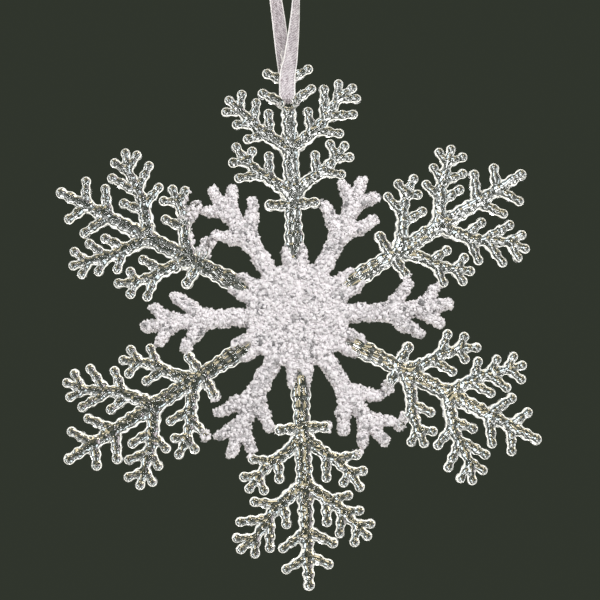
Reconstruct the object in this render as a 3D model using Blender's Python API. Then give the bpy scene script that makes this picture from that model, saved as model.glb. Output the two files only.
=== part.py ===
"""Clear snowflake hanging ornament with a frosted centre and a ribbon loop.

The flake is one clear plastic moulding. It is drawn here as a twelve-sided hub with six
long arms and six short arms around it, each a node of its own, so that the open gaps
between the arms and twigs stay open. Crushed-ice frosting lies on the front and back of
the hub and the short arms. A ribbon runs through a hole near the end of the top arm, up
in front of and behind that arm's tip, to a knot.

Frame: the origin is inside the top of the ribbon loop, where a branch carries it. +Z is
up, +X is to the right as seen from the front, and the front faces -Y. The flake hangs
below, about the plane Y = 0, with its flat back towards +Y. It twists with the ribbon
about the Z axis, and it tilts on the ribbon about the axis of its hanging hole.

An arm is drawn in its own plane, in millimetres, as strokes. A stroke is a list of
(across, along, half_width): across is to the arm's right as seen from the front, and
along is the distance from the centre of the flake.
"""

import math

import bmesh
import bpy
from mathutils import Matrix, Vector

MM = 0.001

# Driving dimensions, in millimetres
LOOP_HEIGHT = 82.0  # from the hanging hole up to the inside of the knot
HOLE_ALONG = 79.5  # from the flake's centre to the hanging hole in the top arm
HOLE_RADIUS = 1.6
HUB_APOTHEM = 17.6
FLAT_BACK = 1.8  # how far the moulding's flat back lies behind the plane Y = 0
HUB_FRONT = 2.4
THINNEST = 2.6  # a stroke is this thick, and thicker by THICKNESS_SHARE of its half width
THICKNESS_SHARE = 0.45
FRONT_BEVEL = 0.9  # how much narrower a stroke is at its front than at its back
GAP = 0.3  # between nodes that touch on the real object
FROSTING_THICKNESS = 1.0
FROSTING_OVERHANG = 0.5  # how far the frosting spreads past a short arm's edge
RIBBON_WIDTH = 6.0
RIBBON_GATHERED = 1.8  # the ribbon's width where it is squeezed through the hole
RIBBON_AT_KNOT = 2.8  # and where it enters the knot
RIBBON_THICKNESS = 0.3
RIBBON_STEP = 2.4
HOLE_HEIGHT = 0.8  # the ribbon's height above the hole's centre as it passes through
HOLE_DEPTH = 2.9  # and how far it stays level in front of and behind the plane Y = 0
GATHER_LENGTH = 3.2  # the ribbon spreads to its full width over this length
KNOT_GATHER_LENGTH = 9.0

ARM_COUNT = 6
ARM_PITCH = math.tau / ARM_COUNT
RING_SIDES = 8  # sides of the round end of a stroke
HOLE_SIDES = 16
CUTTER_DEPTH = 10  # past both faces of what it cuts
SLIVER = 0.02  # points closer than this are joined
FLAT_ANGLE = math.radians(0.5)

STEM = [(0, 15, 3.6), (0, 43, 3.3), (0, 62, 3.1), (0, 80, 2.7), (0, 98.1, 1.9)]
STUBS = [
    [(0, 41.5, 2.4), (8.1, 41.6, 1.9)],
    [(0, 41.0, 2.4), (-8.3, 41.3, 2.0)],
]
LOWER_BRANCH_RIGHT = [
    [(0, 44, 2.8), (6, 50, 2.4), (12, 53.5, 2.2), (16.8, 58.4, 2.0)],
    [(9.3, 52, 2.0), (9.0, 59.4, 1.7)],
    [(11, 53, 1.9), (18.4, 52.0, 1.6)],
    [(16.8, 58.4, 1.9), (14.8, 63.4, 1.6)],
    [(16.8, 58.4, 1.9), (20.1, 62.6, 1.6)],
    [(16.8, 58.0, 1.9), (21.8, 58.3, 1.6)],
]
LOWER_BRANCH_LEFT = [
    [(0, 44, 2.8), (-6, 49.5, 2.4), (-12, 53.5, 2.2), (-16.5, 58.2, 2.0)],
    [(-8.2, 52, 2.0), (-8.0, 59.6, 1.7)],
    [(-11, 52.8, 1.9), (-19.4, 52.0, 1.6)],
    [(-16.0, 58.5, 1.8), (-14.2, 61.8, 1.6)],
    [(-16.8, 58.6, 1.8), (-20.0, 63.6, 1.6)],
    [(-16.5, 58.2, 1.9), (-21.4, 57.9, 1.6)],
]
UPPER_BRANCH_RIGHT = [
    [(0, 61.5, 3.0), (6, 66, 2.5), (11.5, 70.5, 2.3), (15.5, 76, 2.1), (18.6, 80.6, 1.9)],
    [(8.0, 67.8, 2.1), (7.1, 75.8, 1.7)],
    [(10, 68.8, 2.0), (18.4, 67.4, 1.6)],
    [(13.2, 74, 2.0), (13.4, 84.1, 1.7)],
    [(14, 73.8, 2.0), (23.8, 74.4, 1.6)],
    [(18.6, 80.6, 1.8), (19.0, 86.0, 1.6)],
    [(18.8, 80.6, 1.8), (24.0, 84.2, 1.6)],
    [(19, 80.8, 1.8), (25.3, 80.1, 1.6)],
]
UPPER_BRANCH_LEFT = [
    [(0, 61.5, 3.0), (-6, 66, 2.5), (-11.5, 70, 2.3), (-15, 74, 2.1), (-18.4, 77.6, 1.9)],
    [(-7.5, 67.5, 2.1), (-7.5, 75.7, 1.7)],
    [(-9, 68, 2.0), (-15.6, 66.4, 1.6)],
    [(-13, 72.5, 2.0), (-12.0, 80.0, 1.6)],
    [(-13, 72.5, 2.0), (-19.4, 72.1, 1.6)],
    [(-18.2, 77.8, 1.8), (-17.2, 83.4, 1.6)],
    [(-18.4, 77.6, 1.8), (-21.8, 81.4, 1.6)],
    [(-18.2, 77.2, 1.8), (-23.2, 77.0, 1.6)],
]
END_TWIGS = [
    [(0, 79, 2.4), (8.8, 84.5, 1.6)],
    [(0, 78.8, 2.4), (-9.3, 83.3, 1.8)],
    [(0, 87.6, 2.1), (7.9, 92.2, 1.6)],
    [(0, 87.4, 2.1), (-7.3, 91.0, 1.7)],
]
LONG_ARM = [
    STEM,
    *STUBS,
    *LOWER_BRANCH_RIGHT,
    *LOWER_BRANCH_LEFT,
    *UPPER_BRANCH_RIGHT,
    *UPPER_BRANCH_LEFT,
    *END_TWIGS,
]
SHORT_ARM = [
    [(0, 15, 3.1), (0, 33, 2.9), (-0.8, 46, 2.6), (-2.0, 55.6, 1.8)],
    [(-0.3, 33.5, 2.6), (-4.5, 37, 2.1), (-10.0, 41.3, 1.7)],
    [(0.3, 34.5, 2.6), (4.8, 39, 2.1), (8.8, 44.8, 1.7)],
    [(-1, 46, 2.3), (-8.0, 51.0, 1.6)],
    [(-0.6, 45.5, 2.3), (5.0, 52.3, 1.7)],
]
FROSTED_ROOT = [(0, 12, 3.6), (0, 22, 3.0)]  # frosting on the foot of a long arm

LONG_ARM_NAMES = ("top", "upper_right", "lower_right", "bottom", "lower_left", "upper_left")
SHORT_ARM_NAMES = ("upper_right", "right", "lower_right", "lower_left", "left", "upper_left")

# The ribbon's route from the hanging hole upwards: (x, y, height above the hole, turn).
# turn is how far the ribbon's flat side is turned from facing the front, in degrees.
FRONT_STRAND = [
    (-0.3, -HOLE_DEPTH, HOLE_HEIGHT, 0),
    (-0.3, -3.4, 2.0, 0),
    (-0.2, -3.5, 5.5, 0),
    (0.2, -3.7, 10.5, 10),
    (1.4, -4.3, 15.5, 30),
    (2.2, -4.6, 20.5, 40),
    (3.0, -4.2, 25.5, 48),
    (4.2, -3.0, 35.5, 60),
    (4.9, -2.3, 45, 66),
    (4.8, -1.9, 54, 60),
    (3.6, -1.7, 65, 42),
    (2.1, -1.6, 74, 22),
    (1.2, -1.6, 81, 8),
]
BACK_STRAND = [
    (-0.3, HOLE_DEPTH, HOLE_HEIGHT, 0),
    (-0.3, 3.4, 2.0, 0),
    (-0.2, 3.5, 5.5, 0),
    (-0.1, 3.5, 10.5, 4),
    (-0.5, 3.4, 15.5, 10),
    (-1.1, 3.2, 20.5, 18),
    (-1.6, 2.9, 25.5, 26),
    (-2.5, 2.4, 35.5, 34),
    (-3.4, 2.1, 45, 42),
    (-3.8, 1.9, 54, 42),
    (-3.2, 1.7, 65, 32),
    (-2.0, 1.6, 74, 18),
    (-1.2, 1.6, 81, 6),
]
KNOT_SIZE = (7.2, 5.6, 5.4)
KNOT_BASE = 0.2  # the knot's lowest point, above the origin
KNOT_SEGMENTS = 14
KNOT_RINGS = 8
# The ribbon's free ends, from the knot upwards: (x, y, height above the origin, turn)
TAIL_LEFT = [(-1.5, -0.2, 6.1, 0), (-3.4, -0.5, 9.6, 6), (-6.4, -0.9, 12.8, 12), (-9.8, -1.4, 14.6, 18)]
TAIL_RIGHT = [(1.5, 0.2, 6.1, 0), (3.2, 0.6, 10.2, -8), (5.6, 1.3, 13.8, -16), (8.6, 2.0, 16.4, -22)]
TAIL_AT_KNOT = 0.4  # a free end's width at the knot, as a share of its full width


def clear_scene():
    for obj in list(bpy.data.objects):
        bpy.data.objects.remove(obj, do_unlink=True)


def material(name, colour, roughness, metallic=0.0, transmission=0.0, alpha=1.0):
    made = bpy.data.materials.new(name)
    made.use_nodes = True
    shader = made.node_tree.nodes["Principled BSDF"]
    shader.inputs["Base Color"].default_value = (*colour, 1)
    shader.inputs["Roughness"].default_value = roughness
    shader.inputs["Metallic"].default_value = metallic
    shader.inputs["Transmission Weight"].default_value = transmission
    shader.inputs["Alpha"].default_value = alpha
    return made


def place_object(name, mesh, finish, place, parent=None):
    """One node: its mesh, its material, its place and what it is parented to."""
    obj = bpy.data.objects.new(name, mesh)
    obj.data.materials.clear()
    obj.data.materials.append(finish)
    bpy.context.scene.collection.objects.link(obj)
    obj.parent = parent
    obj.matrix_local = place
    return obj


def hull_mesh(points):
    """The closed convex solid around some points, given in millimetres."""
    bm = bmesh.new()
    for point in points:
        bm.verts.new(Vector(point) * MM)
    hull = bmesh.ops.convex_hull(bm, input=bm.verts)
    unused = [item for item in hull["geom_interior"] + hull["geom_unused"]
              if isinstance(item, bmesh.types.BMVert)]
    bmesh.ops.delete(bm, geom=list(set(unused)), context="VERTS")
    bmesh.ops.recalc_face_normals(bm, faces=bm.faces)
    mesh = bpy.data.meshes.new("hull")
    bm.to_mesh(mesh)
    bm.free()
    return mesh


def ring(across, along, radius, depth):
    """A circle of points in an arm's plane, at one depth."""
    for side in range(RING_SIDES):
        angle = math.tau * (side + 0.5) / RING_SIDES
        yield (across + radius * math.cos(angle), depth, along + radius * math.sin(angle))


def rounded_segment(start, end):
    """A length of twig: its full width at the flat back, bevelled towards the front."""
    points = []
    for across, along, half_width in (start, end):
        front = THINNEST + THICKNESS_SHARE * half_width - FLAT_BACK
        points += ring(across, along, half_width, FLAT_BACK)
        points += ring(across, along, half_width - FRONT_BEVEL, -front)
    return hull_mesh(points)


def flat_segment(start, end):
    """The same length of twig as a flat plate, FROSTING_THICKNESS thick and a little wider."""
    points = []
    for across, along, half_width in (start, end):
        for depth in (0, FROSTING_THICKNESS):
            points += ring(across, along, half_width + FROSTING_OVERHANG, depth)
    return hull_mesh(points)


def hub_prism(apothem, low, high):
    """A twelve-sided prism with a flat towards each of the twelve arms."""
    sides = 2 * ARM_COUNT
    radius = apothem / math.cos(math.pi / sides)
    points = []
    for side in range(sides):
        angle = math.tau * (side + 0.5) / sides
        for depth in (low, high):
            points.append((radius * math.sin(angle), depth, radius * math.cos(angle)))
    return hull_mesh(points)


def combine(first, others, operation="UNION"):
    """The first mesh joined with the others, or with the others cut out of it."""
    group = bpy.data.collections.new("group")
    bpy.context.scene.collection.children.link(group)
    for mesh in others:
        group.objects.link(bpy.data.objects.new("member", mesh))
    base = bpy.data.objects.new("base", first)
    bpy.context.scene.collection.objects.link(base)
    boolean = base.modifiers.new("Boolean", "BOOLEAN")
    boolean.operation = operation
    boolean.solver = "EXACT"
    boolean.operand_type = "COLLECTION"
    boolean.collection = group
    graph = bpy.context.evaluated_depsgraph_get()
    made = bpy.data.meshes.new_from_object(base.evaluated_get(graph))
    for obj in [base, *group.objects]:
        bpy.data.objects.remove(obj)
    bpy.data.collections.remove(group)
    return made


def segments(strokes, build):
    """One solid for each straight length of the strokes."""
    return [
        build(start, end)
        for stroke in strokes
        for start, end in zip(stroke, stroke[1:])
    ]


def simplified(mesh, name):
    """The mesh with flat neighbouring faces joined, which keeps it small."""
    bm = bmesh.new()
    bm.from_mesh(mesh)
    bmesh.ops.remove_doubles(bm, verts=bm.verts, dist=SLIVER * MM)
    bmesh.ops.dissolve_limit(bm, angle_limit=FLAT_ANGLE, verts=bm.verts, edges=bm.edges)
    bmesh.ops.triangulate(bm, faces=bm.faces)
    made = bpy.data.meshes.new(name)
    bm.to_mesh(made)
    bm.free()
    return made


def arm_mesh(strokes, name):
    """A whole arm, cut off square just outside the hub."""
    first, *others = segments(strokes, rounded_segment)
    whole = combine(first, others)
    cutter = hub_prism(HUB_APOTHEM + GAP, -CUTTER_DEPTH, CUTTER_DEPTH)
    return simplified(combine(whole, [cutter], "DIFFERENCE"), name)


def pierced(mesh):
    """The top arm's mesh, with the hanging hole."""
    points = []
    for side in range(HOLE_SIDES):
        angle = math.tau * (side + 0.5) / HOLE_SIDES
        across = HOLE_RADIUS * math.cos(angle)
        along = HOLE_ALONG + HOLE_RADIUS * math.sin(angle)
        points += [(across, -CUTTER_DEPTH, along), (across, CUTTER_DEPTH, along)]
    return combine(mesh, [hull_mesh(points)], "DIFFERENCE")


def turned(mesh, angle):
    """A copy of a mesh, turned clockwise in the flake's plane as seen from the front."""
    copy = mesh.copy()
    copy.transform(Matrix.Rotation(angle, 4, "Y"))
    return copy


def frosting_mesh():
    """A star-shaped crust over the hub, the feet of the long arms and the short arms."""
    members = []
    for arm in range(ARM_COUNT):
        for mesh in segments([FROSTED_ROOT], flat_segment):
            members.append(turned(mesh, arm * ARM_PITCH))
        for mesh in segments(SHORT_ARM, flat_segment):
            members.append(turned(mesh, (arm + 0.5) * ARM_PITCH))
    middle = hub_prism(HUB_APOTHEM, 0, FROSTING_THICKNESS)
    return simplified(combine(middle, members), "frosting")


def catmull_rom(before, start, end, after, t):
    """The point a share t of the way from start to end, on a curve through all four."""
    return 0.5 * (
        2 * start
        + (end - before) * t
        + (2 * before - 5 * start + 4 * end - after) * t**2
        + (3 * start - before - 3 * end + after) * t**3
    )


def smooth_route(route):
    """Points about RIBBON_STEP apart on a smooth curve through the route's own points."""
    knots = [Vector(point) for point in route]
    knots = [2 * knots[0] - knots[1], *knots, 2 * knots[-1] - knots[-2]]
    fine = []
    for before, start, end, after in zip(knots, knots[1:], knots[2:], knots[3:]):
        steps = max(1, round((end - start).to_3d().length / RIBBON_STEP))
        fine += [catmull_rom(before, start, end, after, i / steps) for i in range(steps)]
    return [*fine, knots[-2]]


def strip_section(point, forward, width):
    """The four corners of a flat strip's cross-section at a route point."""
    side = Matrix.Rotation(math.radians(point[3]), 3, "Z") @ Vector((1, 0, 0))
    side = (side - forward * side.dot(forward)).normalized() * (width / 2)
    face = forward.cross(side).normalized() * (RIBBON_THICKNESS / 2)
    middle = point.to_3d()
    return [middle - side - face, middle + side - face, middle + side + face, middle - side + face]


def strip_mesh(name, points, widths):
    """A flat strip. points holds (x, y, z, turn) and widths the strip's width at each."""
    bm = bmesh.new()
    rows = []
    for index, (point, width) in enumerate(zip(points, widths)):
        before = points[max(index - 1, 0)].to_3d()
        after = points[min(index + 1, len(points) - 1)].to_3d()
        section = strip_section(point, (after - before).normalized(), width)
        rows.append([bm.verts.new(corner * MM) for corner in section])
    for low, high in zip(rows, rows[1:]):
        for corner in range(4):
            following = (corner + 1) % 4
            bm.faces.new((low[corner], low[following], high[following], high[corner]))
    bm.faces.new(rows[0])
    bm.faces.new(rows[-1])
    bmesh.ops.recalc_face_normals(bm, faces=bm.faces)
    bmesh.ops.triangulate(bm, faces=bm.faces)
    mesh = bpy.data.meshes.new(name)
    bm.to_mesh(mesh)
    bm.free()
    return mesh


def loop_width(x, y, height):
    """The ribbon's width: narrow in the hole, full above it, narrow again at the knot."""
    from_hole = math.hypot(max(height - HOLE_HEIGHT, 0), max(abs(y) - HOLE_DEPTH, 0))
    spread = min(1, from_hole / GATHER_LENGTH)
    near_hole = RIBBON_GATHERED + (RIBBON_WIDTH - RIBBON_GATHERED) * spread
    below_knot = min(1, (LOOP_HEIGHT - height) / KNOT_GATHER_LENGTH)
    near_knot = RIBBON_AT_KNOT + (RIBBON_WIDTH - RIBBON_AT_KNOT) * below_knot
    return min(near_hole, near_knot)


def loop_mesh():
    """The ribbon from the knot down the front, through the hole and up the back."""
    route = smooth_route([*reversed(FRONT_STRAND), *BACK_STRAND])
    widths = [loop_width(*point[:3]) for point in route]
    drop = Vector((0, 0, -LOOP_HEIGHT, 0))
    return strip_mesh("ribbon_loop", [point + drop for point in route], widths)


def knot_mesh():
    """The overhand knot's lump."""
    bm = bmesh.new()
    bmesh.ops.create_uvsphere(bm, u_segments=KNOT_SEGMENTS, v_segments=KNOT_RINGS, radius=0.5)
    bmesh.ops.scale(bm, vec=Vector(KNOT_SIZE) * MM, verts=bm.verts)
    rise = KNOT_BASE + KNOT_SIZE[2] / 2
    bmesh.ops.translate(bm, vec=Vector((0, 0, rise * MM)), verts=bm.verts)
    mesh = bpy.data.meshes.new("ribbon_knot")
    bm.to_mesh(mesh)
    bm.free()
    mesh.shade_smooth()
    return mesh


def tail_mesh(name, route):
    """A free end of the ribbon above the knot."""
    points = smooth_route(route)
    last = len(points) - 1
    widths = []
    for index in range(len(points)):
        spread = min(1, 2 * index / last)
        widths.append(RIBBON_WIDTH * (TAIL_AT_KNOT + (1 - TAIL_AT_KNOT) * spread))
    return strip_mesh(name, points, widths)


def build_flake(clear, frosting):
    """The moulding and its frosting, hung from an empty on the hanging hole's axis."""
    pivot = bpy.data.objects.new("flake_pivot", None)
    bpy.context.scene.collection.objects.link(pivot)
    pivot.location = (0, 0, -LOOP_HEIGHT * MM)
    centre = Matrix.Translation((0, 0, -HOLE_ALONG * MM))

    hub = hub_prism(HUB_APOTHEM, -HUB_FRONT, FLAT_BACK)
    place_object("hub", hub, clear, centre, pivot)

    long_arm = arm_mesh(LONG_ARM, "long_arm")
    top_arm = pierced(long_arm.copy())
    for index, where in enumerate(LONG_ARM_NAMES):
        mesh = long_arm if index else top_arm
        turn = Matrix.Rotation(index * ARM_PITCH, 4, "Y")
        place_object(f"long_arm_{where}", mesh, clear, centre @ turn, pivot)

    short_arm = arm_mesh(SHORT_ARM, "short_arm")
    for index, where in enumerate(SHORT_ARM_NAMES):
        turn = Matrix.Rotation((index + 0.5) * ARM_PITCH, 4, "Y")
        place_object(f"short_arm_{where}", short_arm, clear, centre @ turn, pivot)

    crust = frosting_mesh()
    back = Matrix.Translation((0, (FLAT_BACK + GAP) * MM, 0))
    front = Matrix.Translation((0, -(HUB_FRONT + GAP + FROSTING_THICKNESS) * MM, 0))
    place_object("frosting_back", crust, frosting, centre @ back, pivot)
    place_object("frosting_front", crust, frosting, centre @ front, pivot)


def build_ribbon(organza):
    """The loop, which twists about the Z axis, with its knot and free ends."""
    here = Matrix.Identity(4)
    place_object("ribbon_loop", loop_mesh(), organza, here)
    place_object("ribbon_knot", knot_mesh(), organza, here)
    place_object("ribbon_tail_left", tail_mesh("ribbon_tail_left", TAIL_LEFT), organza, here)
    place_object("ribbon_tail_right", tail_mesh("ribbon_tail_right", TAIL_RIGHT), organza, here)


def build():
    clear_scene()
    clear = material("clear_plastic", (0.93, 0.95, 0.94), 0.05, transmission=1, alpha=0.35)
    frosting = material("crushed_ice_frosting", (0.86, 0.84, 0.85), 0.35)
    organza = material("organza_ribbon", (0.82, 0.78, 0.80), 0.4, alpha=0.75)
    build_flake(clear, frosting)
    build_ribbon(organza)


build()
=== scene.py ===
"""The finished look of the hanging snowflake ornament, built around its CAD model.

The flake's outlines and the ribbon's route are the design's own, and the frame's boxes say
where they go. Sizes are in millimetres, unless a section's heading says metres.
The moulding and the crust of frosting are surfaces of solid fields, and the frosting's
grains are scattered on the crust.
"""

import math

import bpy
import numpy as np
from mathutils import Matrix, Vector


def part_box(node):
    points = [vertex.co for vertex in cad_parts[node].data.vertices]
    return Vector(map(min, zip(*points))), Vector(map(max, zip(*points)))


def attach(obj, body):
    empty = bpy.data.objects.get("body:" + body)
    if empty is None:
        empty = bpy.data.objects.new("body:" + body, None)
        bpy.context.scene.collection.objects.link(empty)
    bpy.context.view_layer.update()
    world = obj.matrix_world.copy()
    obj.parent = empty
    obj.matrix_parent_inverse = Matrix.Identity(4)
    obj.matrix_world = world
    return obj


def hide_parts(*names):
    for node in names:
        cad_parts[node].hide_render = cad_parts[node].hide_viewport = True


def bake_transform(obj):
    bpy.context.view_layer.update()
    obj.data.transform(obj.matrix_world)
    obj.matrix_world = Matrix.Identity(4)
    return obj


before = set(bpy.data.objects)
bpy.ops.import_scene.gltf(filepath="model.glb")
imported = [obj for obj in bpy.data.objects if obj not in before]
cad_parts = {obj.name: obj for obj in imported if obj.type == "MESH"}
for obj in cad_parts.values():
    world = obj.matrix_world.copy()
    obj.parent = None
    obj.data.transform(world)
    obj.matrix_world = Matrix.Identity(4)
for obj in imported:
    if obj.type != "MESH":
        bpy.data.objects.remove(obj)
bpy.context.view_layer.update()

MM = 0.001

# ---- The design's own outlines: (across, along, half_width) in an arm's plane

ARM_COUNT = 6
ARM_PITCH = math.tau / ARM_COUNT
LONG_ARM_NAMES = ("top", "upper_right", "lower_right", "bottom", "lower_left", "upper_left")
SHORT_ARM_NAMES = ("upper_right", "right", "lower_right", "lower_left", "left", "upper_left")
HUB_RADIUS = 18.2
ARM_START = 17.9  # where an arm leaves the hub
HOLE_ALONG = 79.5
HOLE_RADIUS = 1.6
LOOP_HEIGHT = 82.0  # from the hanging hole up to the inside of the knot

STEM = [(0, 15, 3.6), (0, 29, 3.5), (0, 38, 2.9), (0, 46, 3.1), (0, 62, 3.1), (0, 80, 2.7), (0, 98.1, 1.9)]
STUBS = [
    [(0, 41.5, 2.4), (8.1, 41.6, 1.9)],
    [(0, 41.0, 2.4), (-8.3, 41.3, 2.0)],
]
LOWER_BRANCH_RIGHT = [
    [(0, 44, 2.8), (6, 50, 2.4), (12, 53.5, 2.2), (16.8, 58.4, 2.0)],
    [(9.3, 52, 2.0), (9.0, 59.4, 1.7)],
    [(11, 53, 1.9), (18.4, 52.0, 1.6)],
    [(16.8, 58.4, 1.9), (14.8, 63.4, 1.6)],
    [(16.8, 58.4, 1.9), (20.1, 62.6, 1.6)],
    [(16.8, 58.0, 1.9), (21.8, 58.3, 1.6)],
]
LOWER_BRANCH_LEFT = [
    [(0, 44, 2.8), (-6, 49.5, 2.4), (-12, 53.5, 2.2), (-16.5, 58.2, 2.0)],
    [(-8.2, 52, 2.0), (-8.0, 59.6, 1.7)],
    [(-11, 52.8, 1.9), (-19.4, 52.0, 1.6)],
    [(-16.0, 58.5, 1.8), (-14.2, 61.8, 1.6)],
    [(-16.8, 58.6, 1.8), (-20.0, 63.6, 1.6)],
    [(-16.5, 58.2, 1.9), (-21.4, 57.9, 1.6)],
]
UPPER_BRANCH_RIGHT = [
    [(0, 61.5, 3.0), (6, 66, 2.5), (11.5, 70.5, 2.3), (15.5, 76, 2.1), (18.6, 80.6, 1.9)],
    [(8.0, 67.8, 2.1), (7.1, 75.8, 1.7)],
    [(10, 68.8, 2.0), (18.4, 67.4, 1.6)],
    [(13.2, 74, 2.0), (13.4, 84.1, 1.7)],
    [(14, 73.8, 2.0), (23.8, 74.4, 1.6)],
    [(18.6, 80.6, 1.8), (19.0, 86.0, 1.6)],
    [(18.8, 80.6, 1.8), (24.0, 84.2, 1.6)],
    [(19, 80.8, 1.8), (25.3, 80.1, 1.6)],
]
UPPER_BRANCH_LEFT = [
    [(0, 61.5, 3.0), (-6, 66, 2.5), (-11.5, 70, 2.3), (-15, 74, 2.1), (-18.4, 77.6, 1.9)],
    [(-7.5, 67.5, 2.1), (-7.5, 75.7, 1.7)],
    [(-9, 68, 2.0), (-15.6, 66.4, 1.6)],
    [(-13, 72.5, 2.0), (-12.0, 80.0, 1.6)],
    [(-13, 72.5, 2.0), (-19.4, 72.1, 1.6)],
    [(-18.2, 77.8, 1.8), (-17.2, 83.4, 1.6)],
    [(-18.4, 77.6, 1.8), (-21.8, 81.4, 1.6)],
    [(-18.2, 77.2, 1.8), (-23.2, 77.0, 1.6)],
]
END_TWIGS = [
    [(0, 79, 2.4), (8.8, 84.5, 1.6)],
    [(0, 78.8, 2.4), (-9.3, 83.3, 1.8)],
    [(0, 87.6, 2.1), (7.9, 92.2, 1.6)],
    [(0, 87.4, 2.1), (-7.3, 91.0, 1.7)],
]
LONG_ARM = [
    STEM,
    *STUBS,
    *LOWER_BRANCH_RIGHT,
    *LOWER_BRANCH_LEFT,
    *UPPER_BRANCH_RIGHT,
    *UPPER_BRANCH_LEFT,
    *END_TWIGS,
]
SHORT_ARM = [
    [(0, 15, 3.1), (0, 33, 2.9), (-0.8, 46, 2.6), (-2.0, 55.6, 1.8)],
    [(-0.3, 33.5, 2.6), (-4.5, 37, 2.1), (-10.0, 41.3, 1.7)],
    [(0.3, 34.5, 2.6), (4.8, 39, 2.1), (8.8, 44.8, 1.7)],
    [(-1, 46, 2.3), (-8.0, 51.0, 1.6)],
    [(-0.6, 45.5, 2.3), (5.0, 52.3, 1.7)],
]

# ---- The ribbon's route from the hanging hole upwards: (x, y, height above the hole, turn)

HOLE_HEIGHT = 0.8  # the ribbon's middle, above the hole's axis
HOLE_DEPTH = 2.9  # where it comes out, in front of and behind the arm's middle
FRONT_STRAND = [
    (-0.3, -HOLE_DEPTH, HOLE_HEIGHT, 0),
    (-0.3, -3.4, 2.0, 0),
    (-0.2, -3.5, 5.5, 0),
    (0.2, -3.7, 10.5, 10),
    (1.4, -4.3, 15.5, 30),
    (2.2, -4.6, 20.5, 40),
    (3.0, -4.2, 25.5, 48),
    (4.2, -3.0, 35.5, 60),
    (4.9, -2.3, 45, 66),
    (4.8, -1.9, 54, 60),
    (3.6, -1.7, 65, 42),
    (2.1, -1.6, 74, 22),
    (1.3, -1.6, 80.6, 8),
    (0.9, -1.1, 83.6, 0),
]
BACK_STRAND = [
    (-0.3, HOLE_DEPTH, HOLE_HEIGHT, 0),
    (-0.3, 3.4, 2.0, 0),
    (-0.2, 3.5, 5.5, 0),
    (-0.1, 3.5, 10.5, 4),
    (-0.5, 3.4, 15.5, 10),
    (-1.1, 3.2, 20.5, 18),
    (-1.6, 2.9, 25.5, 26),
    (-2.5, 2.4, 35.5, 34),
    (-3.4, 2.1, 45, 42),
    (-3.8, 1.9, 54, 42),
    (-3.2, 1.7, 65, 32),
    (-2.0, 1.6, 74, 18),
    (-1.3, 1.6, 80.6, 6),
    (-0.9, 1.1, 83.6, 0),
]
RIBBON_WIDTH = 6.0
RIBBON_GATHERED = 2.6  # its width in the hole
RIBBON_AT_KNOT = 2.8
GATHER_LENGTH = 1.7  # how far from the hole it is at its full width again
KNOT_GATHER_LENGTH = 9.0
RIBBON_THICKNESS = 0.14
RIBBON_STEP = 0.5  # between the mesh's rows
RIBBON_COLUMNS = 24
THREAD_PITCH = 0.34
WATERING_PITCH = 1.1  # the slanting bands in the sheer cloth
SELVEDGE = 0.42  # how wide the solid woven edges are
RIBBON_PLEATS = 3  # where it is gathered
RIBBON_CUP = 0.22  # how far its middle bows out at full width
GATHER_EASING = 0.6  # below 1, it opens fast above the hole
TAIL_LEFT = [(-1.5, -0.2, 6.1, 0), (-3.4, -0.5, 9.6, 6), (-6.4, -0.9, 12.8, 12), (-9.8, -1.4, 14.6, 18)]
TAIL_RIGHT = [(1.5, 0.2, 6.1, 0), (3.2, 0.6, 10.2, -8), (5.6, 1.3, 13.8, -16), (8.6, 2.0, 16.4, -22)]
TAIL_GATHERED = 0.4  # its width at the knot, as a share of the ribbon's
TAIL_OPENING = 1.8  # it is fully open well before its end
TAIL_SLANT = 0.25  # how much further its end reaches at one edge than the other, over its width
TAIL_SLANT_START = 0.6  # as a share of its length
KNOT_STRAND = 1.25  # the drawn-up ribbon's mean radius in the knot
KNOT_STEPS = 132
KNOT_SIDES = 36
KNOT_PLEATS = 9
KNOT_PLEAT_DEPTH = 0.09
KNOT_STRAND_WIDE = 1.25  # its half width and half thickness, over its mean radius
KNOT_STRAND_THICK = 0.85
KNOT_WEAVE_EDGE = 2.98  # how far from the cloth's middle its first edge is
KNOT_WEAVE_ROUND = 0.95  # cloth to a radian round the strand
KNOT_WEAVE_AHEAD = 4  # and along the knot's path
CORD_PATH_STRIDE = 3

HUB_LOW, HUB_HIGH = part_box("hub")
CENTRE = (Vector(HUB_LOW) + Vector(HUB_HIGH)) / 2
FLAKE_CENTRE = Vector((CENTRE.x, 0, CENTRE.z))


# ---- Camera and light, in metres

CAMERA_DISTANCE = 0.8
CAMERA_LENS = 130.7
SENSOR_WIDTH = 36
CAMERA_AZIMUTH = math.radians(-1.24)
CAMERA_ELEVATION = math.radians(-7.57)
CAMERA_ROLL = math.radians(-2.46)
CAMERA_AIM = FLAKE_CENTRE + Vector((1.21, 0, 5.67)) * MM


def make_camera():
    """Below the flake's middle, looking up at it a little."""
    data = bpy.data.cameras.new("camera")
    data.lens = CAMERA_LENS
    data.sensor_width = SENSOR_WIDTH
    camera = bpy.data.objects.new("camera", data)
    bpy.context.scene.collection.objects.link(camera)
    level = math.cos(CAMERA_ELEVATION)
    back = Vector(
        (
            math.sin(CAMERA_AZIMUTH) * level,
            -math.cos(CAMERA_AZIMUTH) * level,
            math.sin(CAMERA_ELEVATION),
        )
    )
    right = Vector((math.cos(CAMERA_AZIMUTH), math.sin(CAMERA_AZIMUTH), 0))
    axes = Matrix((right, back.cross(right), back)).transposed()
    rolled = axes @ Matrix.Rotation(CAMERA_ROLL, 3, "Z")
    camera.matrix_world = Matrix.LocRotScale(
        CAMERA_AIM + back * CAMERA_DISTANCE, rolled.to_quaternion(), None
    )
    bpy.context.scene.camera = camera


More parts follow.
